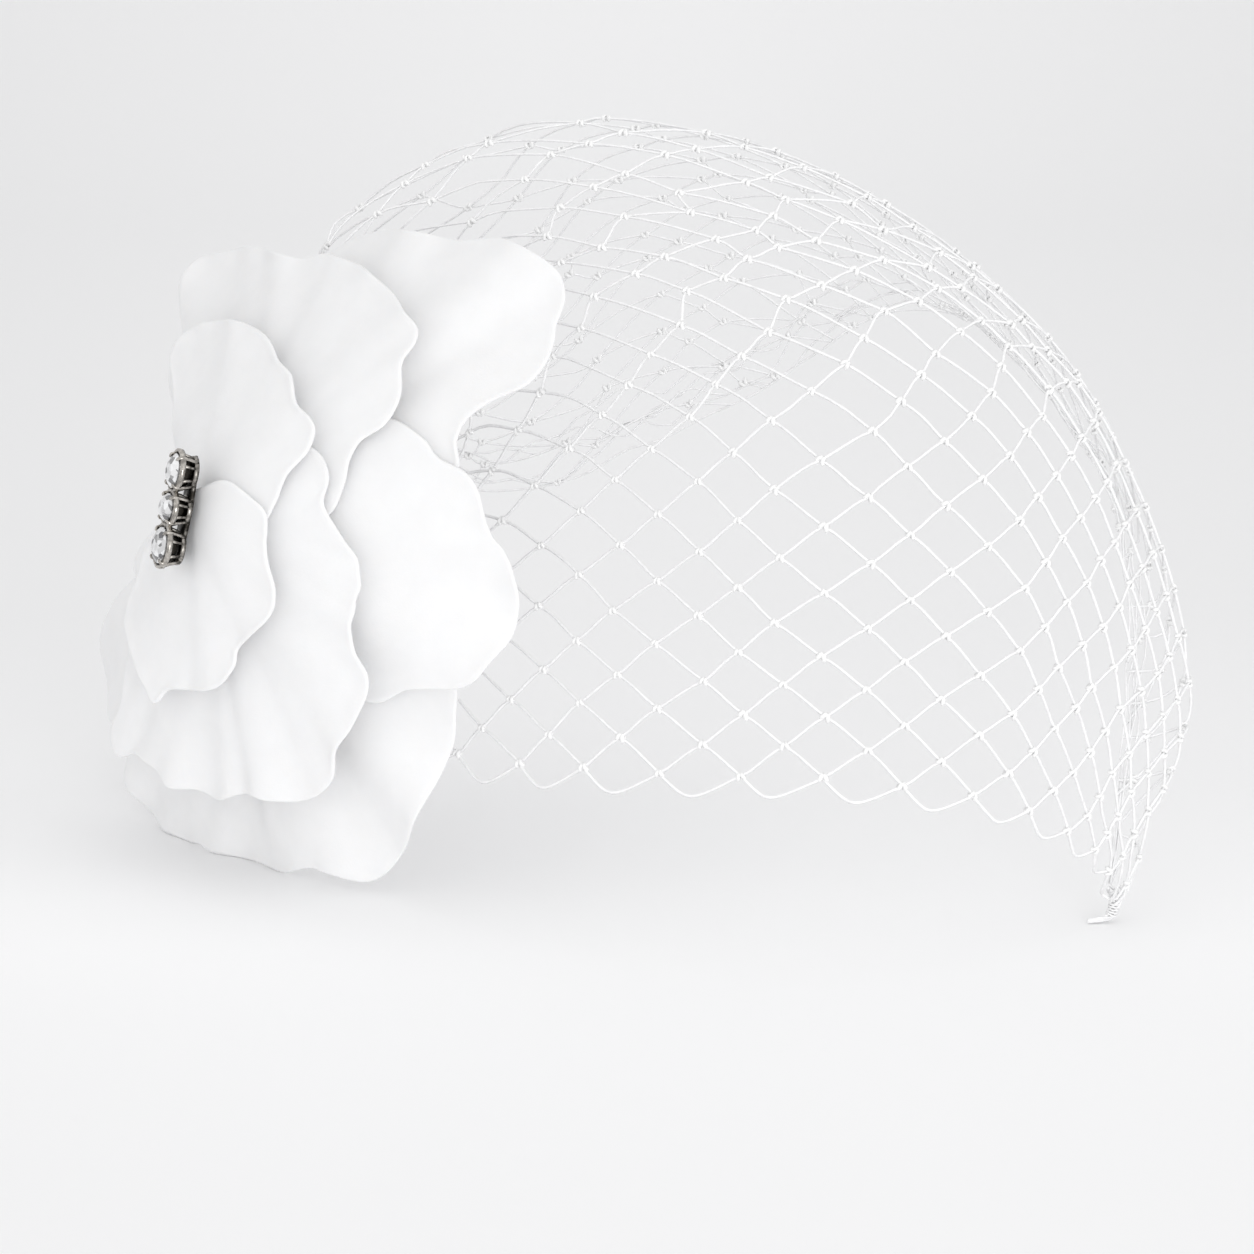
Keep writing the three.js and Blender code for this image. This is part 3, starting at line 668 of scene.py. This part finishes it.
# A small shape on every point, turned by the point's own angles
def makeKnotTree():
    tree = bpy.data.node_groups.new("shapeOnPoints", "GeometryNodeTree")
    ins, outs = addSockets(tree, (("Shape", "Object"), ("Size", "Float"), ("Size Spread", "Float"),
                                  ("Seed", "Int"), ("Material", "Material")))
    info = addNode(tree, "GeometryNodeObjectInfo")
    turn = addNode(tree, "GeometryNodeInputNamedAttribute", {"Name": "turn"}, data_type="FLOAT_VECTOR")
    low = addNode(tree, "ShaderNodeMath", operation="SUBTRACT")
    high = addNode(tree, "ShaderNodeMath", operation="ADD")
    vary = addNode(tree, "FunctionNodeRandomValue", data_type="FLOAT")
    put = addNode(tree, "GeometryNodeInstanceOnPoints")
    real = addNode(tree, "GeometryNodeRealizeInstances")
    setMat = addNode(tree, "GeometryNodeSetMaterial")
    join(tree, (ins, "Shape", info, "Object"))
    for node in (low, high):
        join(tree, (ins, "Size", node, 0), (ins, "Size Spread", node, 1))
    join(tree, (low, 0, vary, 2), (high, 0, vary, 3), (ins, "Seed", vary, "Seed"),
         (ins, "Geometry", put, "Points"), (info, "Geometry", put, "Instance"),
         (turn, "Attribute", put, "Rotation"), (vary, 1, put, "Scale"),
         (put, "Instances", real, "Geometry"), (real, "Geometry", setMat, "Geometry"),
         (ins, "Material", setMat, "Material"), (setMat, "Geometry", outs, "Geometry"))
    return tree


threadTree = makeThreadTree()
knotTree = makeKnotTree()


def runTree(carrier, tree, inputs):
    # evaluates the carrier with the tree and gives back a plain mesh object of the same name
    modifier = carrier.modifiers.new("tree", "NODES")
    modifier.node_group = tree
    for name, value in inputs.items():
        modifier[socketOf(tree, name)] = value
    carrier.update_tag()
    bpy.context.view_layer.update()
    graph = bpy.context.evaluated_depsgraph_get()
    mesh = bpy.data.meshes.new_from_object(carrier.evaluated_get(graph))
    name = carrier.name
    carrier.modifiers.remove(modifier)
    old = carrier.data
    carrier.data = mesh
    bpy.data.meshes.remove(old)
    mesh.name = name
    for key in ("thick", "turn"):
        if key in mesh.attributes:
            mesh.attributes.remove(mesh.attributes[key])
    return carrier


def threadPiece(name, paths, widths, width, material, sides=5):
    points, edges, thick = [], [], []
    for path, wide in zip(paths, widths):
        start = len(points)
        points += list(path)
        edges += [(start + k, start + k + 1) for k in range(len(path) - 1)]
        thick += [wide] * len(path)
    piece = newMesh(name, toFrame(points), [], edges)
    piece.data.attributes.new("thick", "FLOAT", "POINT").data.foreach_set("value", thick)
    return runTree(piece, threadTree, {"Thread Width": width * 0.001, "Sides": sides, "Material": material})


def ringMesh(ringRadius, tubeRadius, ringCount, tubeCount, turn):
    points, faces = [], []
    for i in range(ringCount):
        a = 2 * math.pi * i / ringCount
        for j in range(tubeCount):
            b = 2 * math.pi * j / tubeCount
            r = ringRadius + tubeRadius * math.cos(b)
            points.append(turn @ Vector((tubeRadius * math.sin(b), r * math.cos(a), 0.8 * r * math.sin(a))))
            faces.append(tuple((i + x) % ringCount * tubeCount + (j + y) % tubeCount
                               for x, y in ((0, 0), (1, 0), (1, 1), (0, 1))))
    return points, faces


def makeKnotShape():
    # two turns of thread that cross each other
    points, faces = [], []
    for side in (-1, 1):
        turn = Matrix.Translation((side * 0.34, 0, 0)) @ Matrix.Rotation(side * 0.42, 4, "Z")
        ring, ringFaces = ringMesh(0.42, 0.34, 8, 4, turn)
        faces += [tuple(k + len(points) for k in f) for f in ringFaces]
        points += ring
    return newMesh("knotShape", np.array(points) * 0.001, faces)


paths, widths, knots = makeStrands()
strands = threadPiece("veil_strands", paths, widths, net["threadWidth"], threadMaterial)
knotShape = makeKnotShape()
knotPoints, knotTurns = [], []
for u, v, twist, size in knots:
    normal, way = netNormal(u, v)
    side = np.cross(normal, way)
    basis = Matrix((Vector(way), Vector(side), Vector(normal))).transposed()
    knotPoints.append(netPoint(u, v))
    knotTurns += list((basis @ Matrix.Rotation(twist, 3, "Z")).to_euler())
knotPiece = newMesh("veil_knots", toFrame(knotPoints), [])
knotPiece.data.attributes.new("turn", "FLOAT_VECTOR", "POINT").data.foreach_set("vector", knotTurns)
runTree(knotPiece, knotTree, {"Shape": knotShape, "Size": net["knotSize"], "Size Spread": 0.12, "Seed": 3,
                              "Material": knotMaterial})
bpy.data.objects.remove(knotShape)
settle(strands, "veil_net")
settle(knotPiece, None)
print("net made:", len(paths), "strands,", len(knots), "knots,", len(strands.data.polygons), "faces")

# The gathered tip of the net: its last threads bound together, lying on the floor

tip = {
    "line": [(96.0, -70.2, 6.2), (95.9, -70.1, 2.7), (94.9, -70.3, 0.2), (90.6, -71.1, -0.5)],
    "spread": [1.7, 0.95, 0.42, 0.22],
    "threads": 5,
    "turns": 1.4,
    "width": 0.62,
    "steps": 40,  # along the line
    "wrap": (12, 22),  # from and to this step
    "wrapPitch": 2.2,  # steps for one turn
    "wrapRadius": 1.0,
}
steps = tip["steps"]
tipLine = smoothCurve(tip["line"], steps)
tipSpread = np.interp(np.linspace(0, 3, steps + 1), range(4), tip["spread"])
tipPaths = []
for k in range(tip["threads"]):
    path = []
    for n, (place, spread) in enumerate(zip(tipLine, tipSpread)):
        way = unit(tipLine[min(n + 1, steps)] - tipLine[max(n - 1, 0)])
        side = unit(np.cross(way, (0.2, 1, 0)))
        other = np.cross(way, side)
        a = 2 * math.pi * (k / tip["threads"] + tip["turns"] * n / steps)
        path.append(place + (side * math.cos(a) + other * math.sin(a) * 0.8) * spread)
    tipPaths.append(path)
wrap = []
for n in np.linspace(*tip["wrap"], 60):
    place = np.array([np.interp(n, range(steps + 1), tipLine[:, k]) for k in range(3)])
    way = unit(tipLine[int(n) + 1] - tipLine[int(n) - 1])
    side = unit(np.cross(way, (0.2, 1, 0)))
    a = 2 * math.pi * (n - tip["wrap"][0]) / tip["wrapPitch"]
    wrap.append(place + (side * math.cos(a) + np.cross(way, side) * math.sin(a)) * tip["wrapRadius"])
tipPaths.append(wrap)
tipPiece = threadPiece("veil_tip", tipPaths, [1.0] * tip["threads"] + [0.7], tip["width"], threadMaterial)
settle(tipPiece, "net_end_binding")

# Felt base behind the petals, with stitches round its edge

base = {"radius": 21.0, "front": -10.8, "back": -11.8, "stitches": 34, "stitchLength": 2.4,
        "stitchWidth": 0.32}


def makeBase():
    count, rings = 72, []
    middle = (base["front"] + base["back"]) / 2
    half = (base["front"] - base["back"]) / 2
    profile = [(r, half) for r in (0.25, 0.5, 0.75, 0.93)]
    for a in np.linspace(0.2, math.pi - 0.2, 7):
        profile.append((1 - 0.02 * (1 - math.sin(a)), half * math.cos(a)))
    profile += [(r, -half) for r in (0.93, 0.75, 0.5, 0.25)]
    for share, off in profile:
        ring = []
        for k in range(count):
            a = 2 * math.pi * k / count
            pucker = 0.18 * math.cos(base["stitches"] * a) * (share > 0.9)
            r = base["radius"] * share - abs(pucker)
            ring.append(padPoint(r * math.cos(a), r * math.sin(a), middle + off))
        rings.append(ring)
    points = [p for ring in rings for p in ring]
    points = [padPoint(0, 0, middle + half)] + points + [padPoint(0, 0, middle - half)]
    piece = newMesh("felt_base", toFrame(points), shellFaces(len(rings), count), material=feltMaterial)
    settle(piece, "flower_base")
    paths = []
    for k in range(base["stitches"]):
        a = 2 * math.pi * (k + 0.5) / base["stitches"]
        inner, outer = base["radius"] - base["stitchLength"], base["radius"] + 0.15
        path = []
        for r, off in ((inner, -half + 0.1), (inner + 0.4, -half - 0.16), (outer - 0.6, -half - 0.16),
                       (outer, -half * 0.5), (outer, half * 0.5), (outer - 0.6, half + 0.12),
                       (inner, half)):
            path.append(padPoint(r * math.cos(a), r * math.sin(a), middle + off))
        paths.append(smoothCurve(path, 12))
    stitches = threadPiece("base_stitches", paths, [1.0] * len(paths), base["stitchWidth"], threadMaterial)
    settle(stitches, None)


makeBase()

# Comb: thread that binds the gathered net to its spine

binding = {"turns": 26, "stepsPerTurn": 14, "radius": 2.25, "width": 0.38, "from": 0.08, "to": 0.92}
bindPath = []
spineWay = unit(spineEnd - spineStart)
bindSteps = binding["turns"] * binding["stepsPerTurn"]
for n in range(bindSteps + 1):
    t = n / bindSteps
    place = spineStart + (spineEnd - spineStart) * (binding["from"] + (binding["to"] - binding["from"]) * t)
    a = 2 * math.pi * binding["turns"] * t
    r = binding["radius"] + 0.05 * math.sin(5.3 * a)
    lie = 0.28 * math.sin(2.1 * a)
    bindPath.append(place + (flowerOut * math.cos(a) + gatherSide * math.sin(a)) * r + spineWay * lie)
bindPiece = threadPiece("comb_binding", [bindPath], [1.0], binding["width"], threadMaterial)
settle(bindPiece, None)


# Metal and stones


def silverMaterial(name, look):
    mat, tree, shader = newMaterial(name)
    shader.inputs["Metallic"].default_value = 1.0
    coord = addNode(tree, "ShaderNodeTexCoord")
    spots = addNode(tree, "ShaderNodeTexNoise", {"Scale": look["spotSize"], "Detail": 4.0,
                                                 "Roughness": 0.6})
    join(tree, (coord, "Object", spots, "Vector"))
    worn = addNode(tree, "ShaderNodeMapRange", {"From Min": 0.4, "From Max": 0.62})
    join(tree, (spots, "Fac", worn, "Value"))
    dark = addNode(tree, "ShaderNodeAttribute", attribute_name="tarnish")
    total = addNode(tree, "ShaderNodeMath", {1: look["patches"]}, operation="MULTIPLY_ADD", use_clamp=True)
    join(tree, (worn, "Result", total, 0), (dark, "Fac", total, 2))
    colours = {6: (*look["bright"], 1), 7: (*look["dark"], 1)}
    mix = addNode(tree, "ShaderNodeMix", colours, data_type="RGBA")
    join(tree, (total, 0, mix, 0), (mix, 2, shader, "Base Color"))
    smoothest = look["roughness"]
    rough = addNode(tree, "ShaderNodeMapRange", {"To Min": smoothest, "To Max": smoothest + 0.3})
    join(tree, (total, 0, rough, "Value"), (rough, "Result", shader, "Roughness"))
    bump = addNode(tree, "ShaderNodeBump", {"Strength": 0.3, "Distance": 0.00005})
    join(tree, (spots, "Fac", bump, "Height"), (bump, "Normal", shader, "Normal"))
    return mat


def stoneMaterial():
    mat, tree, shader = newMaterial("foiled glass")
    setInputs(shader, {"Roughness": 0.03, "IOR": 1.75, "Specular IOR Level": 0.8, "Metallic": 0.6,
                       "Coat Weight": 0.6, "Coat Roughness": 0.02})
    # painted reflections: small random cells, from near black to near white, stand in for facets that flash
    # dark and bright
    coord = addNode(tree, "ShaderNodeTexCoord")
    glintCells = addNode(tree, "ShaderNodeTexVoronoi", {"Scale": 900.0})
    join(tree, (coord, "Object", glintCells, "Vector"))
    split = addNode(tree, "ShaderNodeSeparateColor")
    join(tree, (glintCells, "Color", split, "Color"))
    tones = [(place, (tone, tone, tone * 1.01, 1))
             for place, tone in ((0.22, 0.25), (0.36, 0.62), (0.6, 0.85))]
    paintedGlints = addRamp(tree, [(0, (0.10, 0.10, 0.11, 1)), *tones, (1, (0.95, 0.96, 0.97, 1))])
    join(tree, (split, "Red", paintedGlints, "Fac"), (paintedGlints, "Color", shader, "Base Color"))
    return mat


antiqueSilver = silverMaterial("antique silver", {
    "bright": (0.58, 0.55, 0.51), "dark": (0.03, 0.027, 0.023), "spotSize": 900, "patches": 0.5,
    "roughness": 0.16,
})
combSteel = silverMaterial("comb steel", {
    "bright": (0.80, 0.80, 0.81), "dark": (0.55, 0.55, 0.56), "spotSize": 400, "patches": 0.3,
    "roughness": 0.22,
})
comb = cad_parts["side_comb"]
comb.data.materials.clear()
comb.data.materials.append(combSteel)

jewel = {
    "turn": 64,
    "plate": 1.0,
    "plateHalf": (2.3, 11.1),
    "cupHeight": 4.4,
    "crown": 1.3,
    "pavilion": 2.4,
    "wall": 1.0,  # from the stone's edge to the cup's outside
    "railThick": 0.42,
    "posts": 8,
    # name, height on the plate, half width and half length
    "stones": [("stone_top", 7.5, 2.6, 3.5), ("stone_middle", 0.0, 2.9, 2.9),
               ("stone_bottom", -7.6, 3.3, 3.7)],
}
jewelRight, jewelUp, jewelOut = facing(jewel["turn"], veil["flowerTilt"])
jewelSeat = np.array(veil["flowerCentre"]) - flowerRight + flowerOut * 10.5


def jewelPoint(right, up, out):
    return jewelSeat + jewelRight * right + jewelUp * up + jewelOut * out


def ovalPoint(up, width, length, out, a):
    return jewelPoint(width * math.cos(a), up + length * math.sin(a), out)


def ovalRing(up, width, length, out, count, turn=0.0):
    around = 2 * math.pi * (np.arange(count) + turn) / count
    return [ovalPoint(up, width, length, out, a) for a in around]


class Forge:
    # gathers closed parts of one casting, with how tarnished each point is

    def __init__(self):
        self.points, self.faces, self.tarnish = [], [], []

    def loft(self, rings, tarnish, closed=False):
        n, start = len(rings[0]), len(self.points)
        for ring, dark in zip(rings, tarnish):
            self.points += list(ring)
            self.tarnish += [dark] * n
        for r in range(len(rings) if closed else len(rings) - 1):
            a, b = start + r * n, start + (r + 1) % len(rings) * n
            self.faces += [(a + k, a + (k + 1) % n, b + (k + 1) % n, b + k) for k in range(n)]
        if not closed:
            self.faces.append(tuple(range(start, start + n))[::-1])
            last = start + (len(rings) - 1) * n
            self.faces.append(tuple(range(last, last + n)))

    def rod(self, path, radii, tarnish, sides=8):
        path = np.asarray(path, float)
        rings = []
        for k, (place, radius) in enumerate(zip(path, radii)):
            way = unit(path[min(k + 1, len(path) - 1)] - path[max(k - 1, 0)])
            side = jewelRight
            if abs(way @ jewelUp) < 0.95:
                side = unit(np.cross(way, jewelUp + 0.01 * jewelRight))
            other = np.cross(way, side)
            rings.append([place + (side * math.cos(a) + other * math.sin(a)) * radius
                          for a in 2 * math.pi * np.arange(sides) / sides])
        self.loft(rings, tarnish)


def bandRings(up, width, length, out, thick, height, count=28):
    # section of a rounded band that runs round a stone
    section = [(0.5, -0.5), (0.62, 0.0), (0.5, 0.5), (0.0, 0.62), (-0.5, 0.5), (-0.5, -0.5)]
    return [ovalRing(up, width + x * thick, length + x * thick, out + y * height, count)
            for x, y in section]


def makeSetting():
    metal = Forge()
    width, length = jewel["plateHalf"]
    plate = [(0.9, 0.0), (1.0, 0.25), (1.0, 0.7), (0.88, jewel["plate"])]
    metal.loft([ovalRing(-0.05, width * x, length * x, y, 32) for x, y in plate], [0.9, 0.8, 0.7, 0.85])
    height, wall, thick = jewel["cupHeight"], jewel["wall"], jewel["railThick"]
    for name, up, w, l in jewel["stones"]:
        rail = bandRings(up, w + wall - 0.42, l + wall - 0.42, height - 0.45, 0.75, 0.95)
        metal.loft(rail, [0.1, 0.0, 0.05, 0.0, 0.6, 0.8], closed=True)
        foot = bandRings(up, (w + wall) * 0.74 - 0.3, (l + wall) * 0.74 - 0.3, 0.75, 0.7, 0.9)
        metal.loft(foot, [0.5, 0.3, 0.3, 0.5, 0.9, 0.9], closed=True)
        for k in range(jewel["posts"]):
            a = 2 * math.pi * (k + 0.5) / jewel["posts"]
            path = [ovalPoint(up, (w + wall - 0.4) * share, (l + wall - 0.4) * share, out, a)
                    for share, out in ((0.72, 0.6), (0.84, 2.2), (0.98, height - 0.5))]
            metal.rod(path, [0.36, 0.3, 0.38], [0.6, 0.35, 0.2], 6)
        bowl = [(0.42, 1.2), (0.62, 1.9), (0.86, height - 0.7), (0.8, height - 0.6), (0.56, 2.0),
                (0.36, 1.5)]
        bowl = [ovalRing(up, (w + wall) * share, (l + wall) * share, out, 28) for share, out in bowl]
        metal.loft(bowl, [1] * 6)
        for k in range(4):
            a = math.radians(45 + 90 * k)
            claw = ((0.78, 0.6), (0.92, 2.4), (1.0, height - 0.1), (0.97, height + 0.35),
                    (0.88, height + 0.66), (0.78, height + 0.8))
            path = smoothCurve([ovalPoint(up, (w + wall - 0.25) * share, (l + wall - 0.25) * share, out, a)
                                for share, out in claw], 12)
            radii = [0.34] * 6 + [0.36, 0.38, 0.4, 0.4, 0.36, 0.3, 0.16]
            metal.rod(path, radii, [0.7, 0.6, 0.5, 0.3, 0.2, 0.1] + [0.0] * 7)
    piece = newMesh("jewel_claws", toFrame(metal.points), metal.faces, material=antiqueSilver)
    piece.data.attributes.new("tarnish", "FLOAT", "POINT").data.foreach_set("value", metal.tarnish)
    turnOutwards(piece)
    settle(piece, "jewel_setting")


def turnOutwards(piece):
    work = bmesh.new()
    work.from_mesh(piece.data)
    bmesh.ops.recalc_face_normals(work, faces=work.faces)
    work.to_mesh(piece.data)
    work.free()


def makeStone(name, up, w, l, material):
    # a brilliant: table, stars, kites and halves over the girdle, mains to the culet under it
    girdle = jewel["cupHeight"] + 0.1
    rows = [
        ovalRing(up, w * 0.55, l * 0.55, girdle + jewel["crown"], 8),
        ovalRing(up, w * 0.80, l * 0.80, girdle + jewel["crown"] * 0.62, 8, 0.5),
        ovalRing(up, w, l, girdle + 0.15, 16),
        ovalRing(up, w, l, girdle - 0.15, 16),
        ovalRing(up, w * 0.6, l * 0.6, girdle - jewel["pavilion"] * 0.5, 8, 0.5),
    ]
    points = [p for row in rows for p in row] + [jewelPoint(0, up, girdle - jewel["pavilion"])]
    table, star, rim, under, main, culet = 0, 8, 16, 32, 48, 56
    faces = [tuple(range(8))]
    for k in range(8):
        n, e = (k + 1) % 8, (2 * k + 2) % 16
        faces += [
            (table + k, star + k, table + n),
            (table + n, star + k, rim + e, star + n),
            (star + k, rim + 2 * k, rim + 2 * k + 1),
            (star + k, rim + 2 * k + 1, rim + e),
            (rim + 2 * k, under + 2 * k, under + 2 * k + 1, rim + 2 * k + 1),
            (rim + 2 * k + 1, under + 2 * k + 1, under + e, rim + e),
            (main + k, under + 2 * k, under + 2 * k + 1),
            (main + k, under + 2 * k + 1, under + e),
            (main + k, under + e, main + n),
            (main + k, main + n, culet),
        ]
    piece = newMesh(name + "_cut", toFrame(points), faces, smooth=False, material=material)
    turnOutwards(piece)
    settle(piece, name)


makeSetting()
glass = stoneMaterial()
for stoneRow in jewel["stones"]:
    makeStone(*stoneRow, glass)
print("jewel made")

# Stage, light and camera

studio = {
    "cameraAim": (0.0, -45.0, 52.4),
    "cameraDistance": 700.0,
    "cameraHeight": 15,  # degrees above the floor
    "lens": 100.5,
    # painted light and shade on the paper: how light it is, by distance behind the veil in metres
    "paperPaintedLight": [(-0.30, 0.87), (-0.155, 0.925), (-0.09, 0.955), (-0.056, 0.985), (-0.025, 0.985),
                   (0.0, 0.965), (0.05, 0.935), (0.20, 0.905), (0.60, 0.912), (1.40, 0.93)],
    "paperSideShade": (0.05, 0.40, 0.93),  # painted shade: from and to this far sideways the paper darkens to this share
    # name, place, aim, size in metres and power in watts
    "lights": [("key", (0.8, -1.0, 0.40), (-0.05, 0, 0.06), 0.8, 0.3),
               ("low fill", (0.20, -0.75, 0.06), (-0.08, 0, 0.015), 0.30, 2.1),
               ("top", (-0.1, 0.1, 1.5), (0, 0, 0), 1.6, 1.4)],
    "roomLight": 0.903,
}


def makeStage():
    # a seamless sweep: floor, curve and wall
    profile = [(-2.5, 0.0), (0.9, 0.0)]
    for k in range(1, 13):
        a = math.pi / 2 * k / 12
        profile.append((0.9 + 0.6 * math.sin(a), 0.6 - 0.6 * math.cos(a)))
    profile.append((1.5, 3.0))
    points = [(x, y, z) for y, z in profile for x in (-3.0, 3.0)]
    faces = [(2 * k, 2 * k + 1, 2 * k + 3, 2 * k + 2) for k in range(len(profile) - 1)]
    mat, tree, shader = newMaterial("pale paper")
    setInputs(shader, {"Roughness": 0.9, "Specular IOR Level": 0.1})
    coord = addNode(tree, "ShaderNodeTexCoord")
    split = addNode(tree, "ShaderNodeSeparateXYZ")
    # the paper's colour carries painted light and shade: lighter or darker by distance behind the veil,
    # darker towards the sides
    tones = studio["paperPaintedLight"]
    first, last = tones[0][0], tones[-1][0]
    fade = addNode(tree, "ShaderNodeMapRange", {"From Min": first, "From Max": last})
    paper = addRamp(tree, [((place - first) / (last - first), (tone, tone, tone * 1.006, 1))
                           for place, tone in tones])
    join(tree, (coord, "Object", split, "Vector"), (split, "Y", fade, "Value"),
         (fade, "Result", paper, "Fac"))
    near, far, share = studio["paperSideShade"]
    sideways = addNode(tree, "ShaderNodeMath", operation="ABSOLUTE")
    dim = addNode(tree, "ShaderNodeMapRange", {"From Min": near, "From Max": far, "To Min": 1.0,
                                               "To Max": share})
    both = addNode(tree, "ShaderNodeMix", {0: 1.0}, data_type="RGBA", blend_type="MULTIPLY")
    join(tree, (split, "X", sideways, 0), (sideways, 0, dim, "Value"), (paper, "Color", both, 6),
         (dim, "Result", both, 7), (both, 2, shader, "Base Color"))
    newMesh("paper_sweep", points, faces, material=mat)


def pointAlong(thing, place, way):
    thing.location = place
    thing.rotation_mode = "QUATERNION"
    thing.rotation_quaternion = way.to_track_quat("-Z", "Y")


def addLight(name, place, aim, size, power):
    light = bpy.data.lights.new(name, "AREA")
    light.shape, light.size, light.energy = "SQUARE", size, power
    pointAlong(addObject(name, light), place, Vector(aim) - Vector(place))


makeStage()
for light in studio["lights"]:
    addLight(*light)
world = bpy.data.worlds.new("soft room")
world.use_nodes = True
room = world.node_tree.nodes["Background"].inputs
room["Color"].default_value = (1, 1, 1, 1)
room["Strength"].default_value = studio["roomLight"]
bpy.context.scene.world = world
bpy.context.scene.view_settings.view_transform = "Standard"

height = math.radians(studio["cameraHeight"])
aim = Vector(toFrame(studio["cameraAim"]))
back = Vector((0, -math.cos(height), math.sin(height)))
camera = addObject("camera", bpy.data.cameras.new("camera"))
camera.data.lens = studio["lens"]
camera.data.clip_start = 0.01
pointAlong(camera, aim + back * studio["cameraDistance"] * 0.001, -back)
bpy.context.scene.camera = camera
print("stage made")
